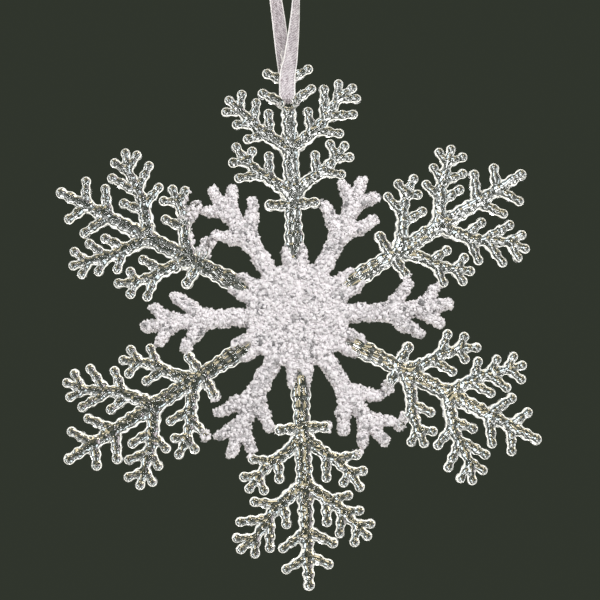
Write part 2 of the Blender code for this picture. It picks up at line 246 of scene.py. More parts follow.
LIGHT_DISTANCE = 0.9
WHITE = (1, 1, 1)
CREAM = (1, 0.975, 0.9)
WARM = (1, 0.86, 0.58)
COOL = (0.84, 0.94, 1)
ROSE = (1, 0.87, 0.94)
GLINTS = 24
GLINT_REACH = 36  # degrees from the line of sight
GLINT_SIZE = 0.15
FRONT_GLINT_DIMMING = 0.5
GLINT_RADIANCES = (0.15, 0.6, 0.03, 1.1, 0.08, 0.35, 1.5)
GLINT_TINTS = (WHITE, WARM, COOL, WHITE, WARM, WHITE, COOL, ROSE)
GOLDEN_TURN = 137.5
WREATH_BOXES = 8
WREATH_PITCH = 360 / WREATH_BOXES
BACK_BOX_POLAR = 61  # degrees from the line of sight, as for every polar angle
BACK_BOX_SIZE = 0.74
BACK_BOX_RADIANCE = 1.08
FRONT_BOX_POLAR = 62
FRONT_BOX_SIZE = 0.6
FRONT_BOX_RADIANCE = 0.9
FRONT_BOX_SWING = 0.25  # its strength swings by this much round the wreath
FRONT_BOX_BRIGHTEST = 40  # the turn where it is strongest
KEY_BOX_POLAR = 33
KEY_BOX_TURN = -30
KEY_BOX_SIZE = 0.3
KEY_BOX_RADIANCE = 14.6
SPARKLES = 4
SPARKLE_POLAR = 22  # the first one's, and each next one is a step further out
SPARKLE_POLAR_STEP = 6
SPARKLE_TURN = 20
SPARKLE_SIZE = 0.06
SPARKLE_RADIANCE = 22
WORLD_COLOUR = (0.030, 0.036, 0.026, 1)
FLOOR_COLOUR = (0.78, 0.78, 0.76, 1)
FLOOR_HEIGHT = -1.3
FLOOR_RADIUS = 1.2
FLOOR_SIDES = 64


def softbox(name, away, size, radiance, tint=WHITE):
    """A soft square light that points at the flake from the given direction."""
    data = bpy.data.lights.new(name, "AREA")
    data.shape = "SQUARE"
    data.size = size
    data.energy = radiance * math.pi * size * size
    data.color = tint
    light = bpy.data.objects.new(name, data)
    bpy.context.scene.collection.objects.link(light)
    light.location = FLAKE_CENTRE + away * LIGHT_DISTANCE
    light.rotation_euler = away.to_track_quat("Z", "Y").to_euler()
    light.visible_camera = False


def around(axis, polar, turn):
    """The direction at an angle from an axis, in degrees. Turn 0 is the upper side."""
    up = Vector((0, 0, 1))
    side = axis.cross(up).normalized()
    up = side.cross(axis)
    polar, turn = math.radians(polar), math.radians(turn)
    rim = up * math.cos(turn) + side * math.sin(turn)
    return axis * math.cos(polar) + rim * math.sin(polar)


def make_glints(name, axis, dimming):
    """Small lights of uneven strength, scattered round an axis, for the clear lenses to gather."""
    for index in range(GLINTS):
        polar = GLINT_REACH * math.sqrt((index + 0.5) / GLINTS)
        radiance = dimming * GLINT_RADIANCES[index % len(GLINT_RADIANCES)]
        tint = GLINT_TINTS[index % len(GLINT_TINTS)]
        away = around(axis, polar, GOLDEN_TURN * index)
        softbox(f"{name}_glint_{index}", away, GLINT_SIZE, radiance, tint)


def make_wreaths(back):
    """A wreath of soft boxes behind the flake, which its rims gather, and one in front."""
    for index in range(WREATH_BOXES):
        turn = WREATH_PITCH * index
        away = around(back, BACK_BOX_POLAR, turn)
        softbox(f"back_box_{index}", away, BACK_BOX_SIZE, BACK_BOX_RADIANCE, CREAM)
        swing = FRONT_BOX_SWING * math.cos(math.radians(turn - FRONT_BOX_BRIGHTEST))
        away = around(-back, FRONT_BOX_POLAR, turn)
        softbox(f"front_box_{index}", away, FRONT_BOX_SIZE, FRONT_BOX_RADIANCE + swing)


def make_lights():
    """Glints and a wreath behind and in front, with a key box and sparkles in front."""
    back = Vector((0, math.cos(CAMERA_ELEVATION), -math.sin(CAMERA_ELEVATION)))
    make_glints("back", back, 1)
    make_glints("front", -back, FRONT_GLINT_DIMMING)
    make_wreaths(back)
    softbox("key_box", around(-back, KEY_BOX_POLAR, KEY_BOX_TURN), KEY_BOX_SIZE, KEY_BOX_RADIANCE)
    for index in range(SPARKLES):
        polar = SPARKLE_POLAR + SPARKLE_POLAR_STEP * index
        away = around(-back, polar, 360 / SPARKLES * index + SPARKLE_TURN)
        softbox(f"sparkle_{index}", away, SPARKLE_SIZE, SPARKLE_RADIANCE)


def make_world():
    world = bpy.data.worlds.new("studio")
    world.use_nodes = True
    background = world.node_tree.nodes["Background"]
    background.inputs["Color"].default_value = WORLD_COLOUR
    background.inputs["Strength"].default_value = 1
    bpy.context.scene.world = world


def make_floor():
    mesh = bpy.data.meshes.new("floor")
    angles = [math.tau * side / FLOOR_SIDES for side in range(FLOOR_SIDES)]
    ring = [(math.cos(angle), math.sin(angle), 0) for angle in angles]
    mesh.from_pydata(ring, [], [list(range(FLOOR_SIDES))])
    floor = bpy.data.objects.new("floor", mesh)
    floor.scale = (FLOOR_RADIUS, FLOOR_RADIUS, 1)
    floor.location = (0, 0, FLOOR_HEIGHT)
    bpy.context.scene.collection.objects.link(floor)
    pale, _, shader = new_material("pale_floor")
    set_inputs(shader, {"Base Color": FLOOR_COLOUR, "Roughness": 0.8})
    mesh.materials.append(pale)


# ---- Materials. Textures and bumps are in metres, and the weave's UV map in millimetres

CLEAR_TINT = (0.985, 0.99, 0.975, 1)
RIPPLES = {"Scale": 420, "Detail": 0}
# The darker greys are painted: they stand in for the dark surroundings seen through the clear grains.
GRAIN_COLOURS = (
    (0.0, (0.2, 0.195, 0.2, 1)),
    (0.2, (0.8, 0.765, 0.78, 1)),
    (0.55, (0.98, 0.935, 0.955, 1)),
)
WEFT_PITCH = 0.9 * THREAD_PITCH
SLUB_AND_HIGHLIGHT_NOISE = {"Scale": 1.1, "Detail": 3, "Distortion": 0.4}
SLUB_AND_HIGHLIGHT_STRETCH = {"Rotation": (0, 0, math.radians(38)), "Scale": (0.85, 0.34, 1)}
SLUB_AND_HIGHLIGHT_RANGE = (0.36, 0.64)  # the noise that gives the thinnest and the thickest cloth, and the darkest and the brightest colour, whose bright end is partly a painted highlight
WATERING_LEAN = 0.9
WATERING_WANDER = 3.0
UNEVENNESS = (0.6, 0.26)  # the threads' gain and least thickness
COVER = (0.5, 0.26)  # the cloth's gain and least cover between threads
SHADE = 0.8
# From the thinnest cloth to the thickest, and the woven edges last. The brighter blotches are partly thick
# slubbed thread and partly a painted highlight.
CLOTH_COLOURS = (
    (0.0, (0.31, 0.235, 0.25, 1)),
    (0.8, (0.95, 0.88, 0.94, 1)),
    (1.0, (1.0, 0.96, 0.94, 1)),  # the woven edges
)


def new_material(name):
    """A material with its node tree and its shader."""
    made = bpy.data.materials.new(name)
    made.use_nodes = True
    return made, made.node_tree, made.node_tree.nodes["Principled BSDF"]


def set_inputs(node, values):
    """Sets a node's input sockets by name."""
    for socket, value in values.items():
        node.inputs[socket].default_value = value


def vector_node(tree, kind, vector, values):
    """A node of this kind, fed with the vector."""
    node = tree.nodes.new(f"ShaderNode{kind}")
    set_inputs(node, values)
    tree.links.new(vector, node.inputs["Vector"])
    return node


def add_bump(tree, shader, height, strength, distance):
    """Roughens the shader's normal by a height from 0 to 1, over a distance in metres."""
    node = tree.nodes.new("ShaderNodeBump")
    set_inputs(node, {"Strength": strength, "Distance": distance})
    tree.links.new(height, node.inputs["Height"])
    tree.links.new(node.outputs["Normal"], shader.inputs["Normal"])


def stretched(tree, value, low, high, lowest=0.0, highest=1.0):
    """The value, stretched so that lowest to highest becomes low to high."""
    node = tree.nodes.new("ShaderNodeMapRange")
    set_inputs(node, {"From Min": lowest, "From Max": highest, "To Min": low, "To Max": high})
    tree.links.new(value, node.inputs["Value"])
    return node.outputs["Result"]


def add_colours(tree, shader, value, colours):
    """Colours the shader by a ramp. Each colour comes with its place on it."""
    ramp = tree.nodes.new("ShaderNodeValToRGB")
    stops = ramp.color_ramp.elements
    for index, (position, colour) in enumerate(colours):
        stop = stops[index] if index < 2 else stops.new(position)
        stop.position, stop.color = position, colour
    tree.links.new(value, ramp.inputs["Fac"])
    tree.links.new(ramp.outputs["Color"], shader.inputs["Base Color"])


def clear_plastic():
    """Water-clear moulded plastic with the faint ripples of a polished mould."""
    made, tree, shader = new_material("clear_plastic_look")
    place = tree.nodes.new("ShaderNodeTexCoord").outputs["Object"]
    ripples = vector_node(tree, "TexNoise", place, RIPPLES).outputs["Fac"]
    add_bump(tree, shader, ripples, strength=0.04, distance=0.0002)
    tree.links.new(stretched(tree, ripples, low=0.0, high=0.06), shader.inputs["Roughness"])
    set_inputs(shader, {"Base Color": CLEAR_TINT, "IOR": 1.49, "Transmission Weight": 1})
    return made


def frosting_look():
    """White and clear crushed grains on a crust of glue: each grain, and each crust, has its own
    brightness and gloss. The clear grains are opaque and painted grey, for the dark surroundings seen
    through them."""
    made, tree, shader = new_material("frosting_look")
    grain = tree.nodes.new("ShaderNodeNewGeometry").outputs["Random Per Island"]
    add_colours(tree, shader, grain, GRAIN_COLOURS)
    tree.links.new(stretched(tree, grain, low=0.12, high=0.4), shader.inputs["Roughness"])
    set_inputs(shader, {"IOR": 1.5})
    return made


def math_node(tree, operation, *values):
    """The result of a Math node. Each value is a number or another node's output."""
    node = tree.nodes.new("ShaderNodeMath")
    node.operation = operation
    for socket, value in zip(node.inputs, values):
        if isinstance(value, bpy.types.NodeSocket):
            tree.links.new(value, socket)
        else:
            socket.default_value = value
    return node.outputs[0]


def threads(tree, distance, pitch):
    """0 between threads and 1 on top of one, for threads that lie pitch apart."""
    wave = math_node(tree, "SINE", math_node(tree, "MULTIPLY", distance, math.pi / pitch))
    return math_node(tree, "MULTIPLY", wave, wave)


def thread_thickness(tree, uv, across, along):
    """How thick the threads are: they thicken in slanting bands, and in blotches that are partly thick
    slubbed thread and partly a painted highlight, as the cloth's colour brightens with them.
    """
    stretch = vector_node(tree, "Mapping", uv, SLUB_AND_HIGHLIGHT_STRETCH).outputs["Vector"]
    slub_and_highlight_noise = vector_node(tree, "TexNoise", stretch, SLUB_AND_HIGHLIGHT_NOISE).outputs["Fac"]
    slub_and_highlight_blotches = stretched(tree, slub_and_highlight_noise, 0.0, 1.0, *SLUB_AND_HIGHLIGHT_RANGE)
    slant = math_node(tree, "ADD", math_node(tree, "MULTIPLY", across, WATERING_LEAN), along)
    slant = math_node(tree, "ADD", slant, math_node(tree, "MULTIPLY", slub_and_highlight_noise, WATERING_WANDER))
    watered = math_node(tree, "ADD", threads(tree, slant, WATERING_PITCH), slub_and_highlight_blotches)
    return math_node(tree, "MULTIPLY_ADD", watered, *UNEVENNESS)


def organza_look():
    """Sheer plain weave with solid woven edges. The UV map is in millimetres."""
    made, tree, shader = new_material("organza_look")
    weave = tree.nodes.new("ShaderNodeUVMap")
    weave.uv_map = "weave"
    uv = weave.outputs["UV"]
    split = vector_node(tree, "SeparateXYZ", uv, {})
    across, along = split.outputs["X"], split.outputs["Y"]
    warp = threads(tree, across, THREAD_PITCH)
    weft = threads(tree, along, WEFT_PITCH)
    thickness = thread_thickness(tree, uv, across, along)
    cloth = math_node(tree, "MULTIPLY", math_node(tree, "MAXIMUM", warp, weft), thickness)
    from_middle = math_node(tree, "ABSOLUTE", across)
    selvedge = math_node(tree, "GREATER_THAN", from_middle, RIBBON_WIDTH / 2 - SELVEDGE)
    cover = math_node(tree, "MULTIPLY_ADD", cloth, *COVER)
    tree.links.new(math_node(tree, "MAXIMUM", cover, selvedge), shader.inputs["Alpha"])
    # The colour brightens with the threads' thickness, so its bright blotches are partly a painted
    # highlight.
    shade = math_node(tree, "MULTIPLY_ADD", cloth, SHADE, selvedge)
    add_colours(tree, shader, shade, CLOTH_COLOURS)
    add_bump(tree, shader, math_node(tree, "ADD", warp, weft), strength=0.5, distance=0.00006)
    set_inputs(shader, {"Roughness": 0.38, "Sheen Weight": 0.35})
    return made


# ---- Solid fields and their surfaces

FAR_AWAY = 1e3
SQUARE_CORNERS = ((0, 0), (0, 1), (1, 0), (1, 1))


def smooth_min(a, b, reach):
    """The smaller of a and b, rounded where they are within reach of each other."""
    near = np.clip(reach - np.abs(a - b), 0, None) / reach
    return np.minimum(a, b) - near * near * reach / 4


def stroke_lengths(strokes):
    """Each straight length of the strokes, with how much of its stroke is left there."""
    for stroke in strokes:
        lengths = [math.dist(start[:2], end[:2]) for start, end in zip(stroke, stroke[1:])]
        left = sum(lengths)
        for start, end, length in zip(stroke, stroke[1:], lengths):
            yield start, end, left, length
            left -= length


def outline_distance(across, along, strokes, fillet, ripple=0.0, pitch=1.0):
    """Distance outside the strokes' outline, negative inside. The outline swells by
    ripple at each stroke's end and once every pitch before it."""
    distance = np.full(across.shape, FAR_AWAY)
    for start, end, left, length in stroke_lengths(strokes):
        dx, ds = (end[0] - start[0]) / length, (end[1] - start[1]) / length
        reach = np.clip((across - start[0]) * dx + (along - start[1]) * ds, 0, length)
        off = np.hypot(across - start[0] - reach * dx, along - start[1] - reach * ds)
        width = start[2] + (end[2] - start[2]) * reach / length
        swell = ripple * np.cos(math.tau * (left - reach) / pitch)
        distance = smooth_min(distance, off - width - swell, fillet)
    return distance


def cell_corner(field, offset):
    """The field at the same corner of every cell of its grid."""
    return field[tuple(slice(o, o + n - 1) for o, n in zip(offset, field.shape))]


def net_points(field, origin, step):
    """A point in each cell where the field changes sign, in the middle of its crossings,
    and every cell's point number."""
    shape = [n - 1 for n in field.shape]
    total = np.zeros((*shape, 3))
    count = np.zeros(shape)
    for axis in range(3):
        for square_corner in SQUARE_CORNERS:
            low = np.insert(square_corner, axis, 0)
            high = np.insert(square_corner, axis, 1)
            a, b = cell_corner(field, low), cell_corner(field, high)
            crosses = (a < 0) != (b < 0)
            share = np.where(crosses, a / np.where(crosses, a - b, 1), 0)
            for k in range(3):
                total[..., k] += crosses * (share if k == axis else low[k])
            count += crosses
    used = count > 0
    number = np.full(shape, -1)
    number[used] = np.arange(used.sum())
    points = origin + step * (np.argwhere(used) + total[used] / count[used][:, None])
    return points, number


def net_faces(inside, number):
    """A four-sided face round each of the grid's edges that the surface crosses."""
    faces = []
    for axis in range(3):
        order = (axis, (axis + 1) % 3, (axis + 2) % 3)
        here = np.moveaxis(inside, order, (0, 1, 2))
        cell = np.moveaxis(number, order, (0, 1, 2))
        flips = here[:-1, 1:-1, 1:-1] != here[1:, 1:-1, 1:-1]
        i, j, k = np.nonzero(flips)
        quad = np.stack([cell[i, j, k], cell[i, j + 1, k], cell[i, j + 1, k + 1], cell[i, j, k + 1]], 1)
        outward = here[i, j + 1, k + 1]
        faces.append(np.where(outward[:, None], quad, quad[:, ::-1]))
    return np.concatenate(faces)


def surface_net(field, origin, step):
    """Points and four-sided faces of the surface where a field changes sign."""
    points, number = net_points(field, origin, step)
    return points, net_faces(field < 0, number)


def quad_mesh(name, points, faces):
    """A mesh of four-sided faces, from points in millimetres."""
    mesh = bpy.data.meshes.new(name)
    mesh.vertices.add(len(points))
    mesh.vertices.foreach_set("co", (points * MM).astype(np.float32).ravel())
    mesh.loops.add(4 * len(faces))
    mesh.loops.foreach_set("vertex_index", faces.astype(np.int32).ravel())
    mesh.polygons.add(len(faces))
    mesh.polygons.foreach_set("loop_start", np.arange(0, 4 * len(faces), 4, dtype=np.int32))
    mesh.update(calc_edges=True)
    mesh.validate()
    return mesh


def add_piece(name, mesh, look, body, nodes):
    """Shows a mesh in place of CAD nodes. It rides on the body, or on none."""
    piece = bpy.data.objects.new(name, mesh)
    mesh.materials.append(look)
    bpy.context.scene.collection.objects.link(piece)
    if body:
        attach(piece, body)
    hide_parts(*nodes)
    return piece


def in_place(points, turns):
    """Points of an arm's plane, in mm, put at the arm that many arm pitches round."""
    across, along = turned_plane(points[:, 0], points[:, 2], -turns)
    return np.stack([across, points[:, 1], along], 1) + np.array(FLAKE_CENTRE) / MM


def turned_plane(x, z, turns):
    """Plane coordinates seen from an arm that is turned by that many arm pitches."""
    angle = turns * ARM_PITCH
    across = x * math.cos(angle) - z * math.sin(angle)
    along = x * math.sin(angle) + z * math.cos(angle)
    return across, along


# ---- The clear moulding

ARM_GRID = 0.25  # between the field's samples
ARM_REACH = 29.0  # widest, to each side
ARM_END = 101.5
ARM_MARGIN = 1.5  # of empty grid before the arm's start
ARM_FILLET = 0.7
RIPPLE = 0.26
RIPPLE_PITCH = 3.8
FRONT_DEPTH = 3.3  # how far the grid reaches in front of the arm's middle
BACK_DEPTH = 2.9
FRONT_ROUND = 1.75  # nearly a twig's half width, so that a twig is nearly round
BACK_ROUND = 1.55
CROWN_SLOPE = 0.1  # the front rises this much to the millimetre from its edge
CROWN_WIDTH = 3
HOLE_FILLET = 0.4
BEAD_SEED = 3
BEAD_PITCH = 2.9
BACK_BEAD_PITCH = 1.15 * BEAD_PITCH
BEAD_JITTER = 0.18  # over the pitch
BEAD_ROWS = 1.7  # over the stroke's half width and the pitch
ROW_SPREAD = 0.8
LONE_BEAD_WIDTH = 0.66  # over the stroke's half width
ROW_BEAD_WIDTH = 0.95
BEAD_LENGTH = 0.58  # half a bead's length, over its spacing
BEAD_REACH = 4  # no bead is longer or wider than this
FRONT_BEADS = 0.36  # a bead's height over its half width
BACK_BEADS = 0.24
LENS_END = 43.0  # the stem's large lenses reach this far from the centre
LENS_PITCH = 4.8
LENS_ROWS = 3


def beads_along(strokes, pitch, draw, lenses):
    """The lens-like beads on the strokes. The foot of the stem has the large lenses
    instead, or nothing."""
    for start, end, _, length in stroke_lengths(strokes):
        on_foot = start[0] == end[0] == 0 and end[1] < LENS_END
        if on_foot and lenses:
            yield from bead_rows(start, end, length, pitch, draw, LENS_ROWS, LENS_PITCH, 0)
        elif not on_foot:
            rows = max(1, round(BEAD_ROWS * (start[2] + end[2]) / 2 / pitch))
            yield from bead_rows(start, end, length, pitch, draw, rows, pitch, 0.5 * pitch)


def bead_rows(start, end, length, pitch, draw, rows, spacing, stagger):
    """Rows of beads between two points: each one's place, direction and half sizes."""
    steps = max(1, round(length / spacing))
    turn = math.atan2(end[0] - start[0], end[1] - start[1])
    width = LONE_BEAD_WIDTH if rows == 1 else ROW_BEAD_WIDTH / rows
    for step in range(steps + 1):
        share = step / steps
        half = start[2] + (end[2] - start[2]) * share
        for row in range(rows):
            shake = draw.uniform(-BEAD_JITTER, BEAD_JITTER, 4) * pitch
            off = (2 * row - rows + 1) * ROW_SPREAD * half / rows + shake[0]
            ahead = length * share + stagger * (row % 2) + shake[1]
            yield (
                start[0] + ahead * math.sin(turn) + off * math.cos(turn),
                start[1] + ahead * math.cos(turn) - off * math.sin(turn),
                turn,
                half * width + shake[2] / 2,
                length / steps * BEAD_LENGTH + shake[3] / 2,
            )


def bead_relief(across, along, beads, steepness):
    """How far the beads stand out of the face they are on."""
    relief = np.zeros(across.shape)
    for x, s, turn, half_across, half_along in beads:
        near = (np.abs(across - x) < BEAD_REACH) & (np.abs(along - s) < BEAD_REACH)
        dx, ds = across[near] - x, along[near] - s
        u = (dx * math.cos(turn) - ds * math.sin(turn)) / half_across
        v = (dx * math.sin(turn) + ds * math.cos(turn)) / half_along
        height = steepness * min(half_across, half_along)
        relief[near] = np.maximum(relief[near], height * (1 - u * u - v * v))
    return relief


def rounded_slab(outline, depth, front, back, front_round, back_round):
    """The field of a slab with this outline, its front and back faces and rounded edges."""
    ahead = depth < 0
    radius = np.where(ahead, front_round, back_round)
    face = np.where(ahead, -depth - front, depth - back) + radius
    side = outline + radius
    outside = np.hypot(np.maximum(side, 0), np.maximum(face, 0))
    return outside + np.minimum(np.maximum(side, face), 0) - radius


def slab_surface(x, y, s, outline, front, back, front_round, back_round):
    """The surface of a rounded slab on the grid with these coordinates."""
    field = rounded_slab(outline[:, None, :], y[None, :, None], front, back, front_round, back_round)
    return surface_net(field, np.array([x[0], y[0], s[0]]), x[1] - x[0])


def arm_surface(pierced):
    """One long arm in its own plane: X across, Y depth and Z along."""
    x = np.arange(-ARM_REACH, ARM_REACH, ARM_GRID)
    s = np.arange(ARM_START - ARM_MARGIN, ARM_END, ARM_GRID)
    y = np.arange(-FRONT_DEPTH, BACK_DEPTH, ARM_GRID)
    across, along = np.meshgrid(x, s, indexing="ij")
    outline = outline_distance(across, along, LONG_ARM, ARM_FILLET, RIPPLE, RIPPLE_PITCH)
    crown = CROWN_SLOPE * np.clip(-outline, 0, CROWN_WIDTH)
    draw = np.random.default_rng(BEAD_SEED)
    front_beads = beads_along(LONG_ARM, BEAD_PITCH, draw, True)
    back_beads = beads_along(LONG_ARM, BACK_BEAD_PITCH, draw, False)
    front = FRONT_ROUND + crown + bead_relief(across, along, front_beads, FRONT_BEADS)
    back = BACK_ROUND + bead_relief(across, along, back_beads, BACK_BEADS)
    outline = np.maximum(outline, ARM_START - along)
    if pierced:
        hole = HOLE_RADIUS - np.hypot(across, along - HOLE_ALONG)
        outline = -smooth_min(-outline, -hole, HOLE_FILLET)
    return slab_surface(x, y, s, outline, front[:, None, :], back[:, None, :], FRONT_ROUND, BACK_ROUND)


def make_long_arms():
    """The six clear arms. Gives back the plain arm's surface for the frosting's grains."""
    look = clear_plastic()
    plain, holed = arm_surface(False), arm_surface(True)
    for index, where in enumerate(LONG_ARM_NAMES):
        points, faces = plain if index else holed
        node = f"long_arm_{where}"
        mesh = quad_mesh(node, in_place(points, index), faces)
        mesh.shade_smooth()
        add_piece(f"clear_{node}", mesh, look, "flake", [node])
    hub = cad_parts["hub"]
    hub.data.materials.clear()
    hub.data.materials.append(look)
    return plain


# ---- The frosting

CRUST_GRID = 0.5
CRUST_DEPTHS = np.arange(-4.2, 3.8, CRUST_GRID)  # from the front to the back
CENTRE_CRUST_REACH = 31
CENTRE_CRUST_SLAB = (3.0, 2.5, 0.9, 0.9)  # front, back, and the two edges' rounding
CENTRE_FILLET = 1.0
SHORT_ARM_REACH = 14
SHORT_ARM_START = 13
SHORT_ARM_END = 61
SHORT_ARM_SLAB = (2.6, 2.2, 1.3, 1.3)
LUMP_HEIGHT = 0.32
CRUST_FILLET = 2.0
CRUST_INSET = 0.65  # the grains reach this much further than the crust
CENTRE_SEED = 7
SHORT_ARM_SEED = 20
GRAIN_HALF_SIZE = (0.2, 0.85)
GRAIN_SIZE_POWER = 3  # above 1, few are the largest
GRAIN_STRETCH = (0.6, 1.35)
GRAIN_ANGULARITY = 0.28  # how far a cube's corners stray, over its half size
GRAIN_CORNER = math.sqrt(1.6)  # a half size ends between a grain's faces and its corners
GRAINS_PER_AREA = 2.6
GRAIN_RISE = 0.32
FOOT = [[(0, 10, 4.0), (0, 23.6, 3.7)]]  # the crust on a long arm's foot
FOOT_BARE = [[(0.2, 21.4, 1.4), (0, 24.4, 2.2), (0, 30, 2.4)]]  # and the bare lenses down its middle
BARE_MARGIN = 0.2  # no grain sits nearer to the bare lenses than this
FEET_END = 30  # the long arms' feet, where the centre's crust is
OVERSPRAY_FILLET = 1.0
OVERSPRAY_THINNING = 0.7
# How far grains strayed from each short arm onto the clear twigs before and after it, and
# how many of them to an area.
OVERSPRAY = {
    "upper_right": ((1.0, 0.5), (1.0, 0.5)),
    "right": ((2.0, 0.8), (1.0, 0.5)),
    "lower_right": ((4.5, 2.4), (4.0, 1.8)),
    "lower_left": ((1.5, 0.8), (4.8, 2.0)),
    "left": ((1.5, 0.8), (1.0, 0.5)),
    "upper_left": ((7.5, 3.0), (2.0, 0.5)),
}
CUBE_CORNERS = np.array([(x, y, z) for x in (-1, 1) for y in (-1, 1) for z in (-1, 1)], float)
CUBE_FACES = np.array(
    [
        (0, 1, 3, 2),
        (4, 6, 7, 5),
        (0, 4, 5, 1),
        (2, 3, 7, 6),
        (0, 2, 6, 4),
        (1, 5, 7, 3),
    ]
)


def random_turns(draw, count):
    """That many random rotation matrices."""
    q = draw.normal(size=(count, 4))
    w, x, y, z = (q / np.linalg.norm(q, axis=1, keepdims=True)).T
    rows = [
        [1 - 2 * (y * y + z * z), 2 * (x * y - w * z), 2 * (x * z + w * y)],
        [2 * (x * y + w * z), 1 - 2 * (x * x + z * z), 2 * (y * z - w * x)],
        [2 * (x * z - w * y), 2 * (y * z + w * x), 1 - 2 * (x * x + y * y)],
    ]
    return np.moveaxis(np.array(rows), 2, 0)


def random_places(points, faces, draw, per_area):
    """Places all over a surface of four-sided faces, and the way out of it at each."""
    corner = points[faces]
    across, down = corner[:, 2] - corner[:, 0], corner[:, 3] - corner[:, 1]
    normal = np.cross(across, down)
    area = np.linalg.norm(normal, axis=1) / 2
    count = int(area.sum() * per_area)
    chosen = draw.choice(len(faces), size=count, p=area / area.sum())
    u, v = draw.random((2, count, 1))
    c = corner[chosen]
    place = (c[:, 0] * (1 - u) + c[:, 1] * u) * (1 - v) + (c[:, 3] * (1 - u) + c[:, 2] * u) * v
    return place, normal[chosen] / (2 * area[chosen, None])


def grain_corners(draw, count):
    """The corners of that many angular grains, round the origin."""
    shape = CUBE_CORNERS + draw.normal(0, GRAIN_ANGULARITY, (count, 8, 3))
    smallest, largest = GRAIN_HALF_SIZE
    half = smallest + (largest - smallest) * draw.random((count, 1, 1)) ** GRAIN_SIZE_POWER
    half = half * draw.uniform(*GRAIN_STRETCH, (count, 1, 3))
    return np.einsum("nij,nkj->nki", random_turns(draw, count), shape * half / GRAIN_CORNER)


def scatter_grains(points, faces, draw, per_area, wanted=None):
    """Angular grains on a surface, half sunk in it. wanted gives each place's chance of
    keeping its grain."""
    place, out = random_places(points, faces, draw, per_area)
    if wanted is not None:
        kept = draw.random(len(place)) < wanted(place)
        place, out = place[kept], out[kept]
    corners = grain_corners(draw, len(place)) + (place + out * GRAIN_RISE)[:, None, :]
    numbers = CUBE_FACES[None] + 8 * np.arange(len(place))[:, None, None]
    return corners.reshape(-1, 3), numbers.reshape(-1, 4)


def joined(*parts):
    """Several (points, faces) pairs as one."""
    points, faces, used = [], [], 0
    for part_points, part_faces in parts:
        points.append(part_points)
        faces.append(part_faces + used)
        used += len(part_points)
    return np.concatenate(points), np.concatenate(faces)


def lumps(across, along, phase):
    """Uneven swells for the crust's outline, a few millimetres apart: waves that slant and
    cross, with no common length."""
    first = np.sin(1.9 * across + 1.2 * along + phase) * np.sin(1.3 * across - 2.2 * along + 2 * phase)
    second = np.sin(0.8 * across - 0.9 * along - phase)
    return LUMP_HEIGHT * (first + 0.5 * second)


def centre_crust():
    """The crust over the hub and the feet of the long arms, in the flake's own frame.
    It climbs each foot's edges further than its middle."""
    x = np.arange(-CENTRE_CRUST_REACH, CENTRE_CRUST_REACH, CRUST_GRID)
    across, up = np.meshgrid(x, x, indexing="ij")
    outline = np.hypot(across, up) - HUB_RADIUS
    for arm in range(ARM_COUNT):
        plane = turned_plane(across, up, arm)
        foot = outline_distance(*plane, FOOT, CENTRE_FILLET)
        bare = outline_distance(*plane, FOOT_BARE, CENTRE_FILLET)
        outline = smooth_min(outline, np.maximum(foot, -bare), CENTRE_FILLET)
    return slab_surface(x, CRUST_DEPTHS, x, outline - lumps(across, up, 1), *CENTRE_CRUST_SLAB)


def off_bare_feet(place):
    """Whether each place lies outside the long arms' bare lenses."""
    clear = np.ones(len(place), bool)
    for arm in range(ARM_COUNT):
        plane = turned_plane(place[:, 0], place[:, 2], arm)
        clear &= outline_distance(*plane, FOOT_BARE, CENTRE_FILLET) > BARE_MARGIN
    return clear


def short_arm_crust(phase):
    x = np.arange(-SHORT_ARM_REACH, SHORT_ARM_REACH, CRUST_GRID)
    s = np.arange(SHORT_ARM_START, SHORT_ARM_END, CRUST_GRID)
    across, along = np.meshgrid(x, s, indexing="ij")
    outline = outline_distance(across, along, SHORT_ARM, CRUST_FILLET) + CRUST_INSET
    return slab_surface(x, CRUST_DEPTHS, s, outline - lumps(across, along, phase), *SHORT_ARM_SLAB)


def thinning_out(spread):
    """Gives the chance of a grain at places, which falls to none at spread from a short arm."""

    def chance(place):
        gap = outline_distance(place[:, 0], place[:, 2], SHORT_ARM, OVERSPRAY_FILLET)
        return np.clip(1 - gap / spread, 0, 1) ** OVERSPRAY_THINNING

    return chance


def overspray(clear_arm, where, draw):
    """Grains that caught on the clear twigs on either side of a short arm, in its plane."""
    parts = []
    points, faces = clear_arm
    for side, (spread, per_area) in zip((-0.5, 0.5), OVERSPRAY[where]):
        across, along = turned_plane(points[:, 0], points[:, 2], -side)
        gap = outline_distance(across, along, SHORT_ARM, OVERSPRAY_FILLET)
        close = gap[faces].min(axis=1) < spread
        beyond_feet = along[faces].min(axis=1) > FEET_END
        near = faces[close & beyond_feet]
        if len(near):
            twigs = np.stack([across, points[:, 1], along], 1)
            parts.append(scatter_grains(twigs, near, draw, per_area, thinning_out(spread)))
    return parts


def frosting_mesh(name, turns, *parts):
    """A crust and its grains as one mesh, at the arm that many arm pitches round."""
    points, faces = joined(*parts)
    return quad_mesh(name, in_place(points, turns), faces)


def make_frosting(clear_arm):
    look = frosting_look()
    centre = centre_crust()
    draw = np.random.default_rng(CENTRE_SEED)
    grains = scatter_grains(*centre, draw, GRAINS_PER_AREA, off_bare_feet)
    mesh = frosting_mesh("frosting_centre", 0, centre, grains)
    add_piece("frosting_centre", mesh, look, "flake", ["frosting_front", "frosting_back"])
    for index, where in enumerate(SHORT_ARM_NAMES):
        draw = np.random.default_rng(SHORT_ARM_SEED + index)
        arm = short_arm_crust(index)
        grains = scatter_grains(*arm, draw, GRAINS_PER_AREA)
        name = f"frosting_short_arm_{where}"
        mesh = frosting_mesh(name, index + 0.5, arm, grains, *overspray(clear_arm, where, draw))
        add_piece(name, mesh, look, "flake", [f"short_arm_{where}"])


# ---- The ribbon


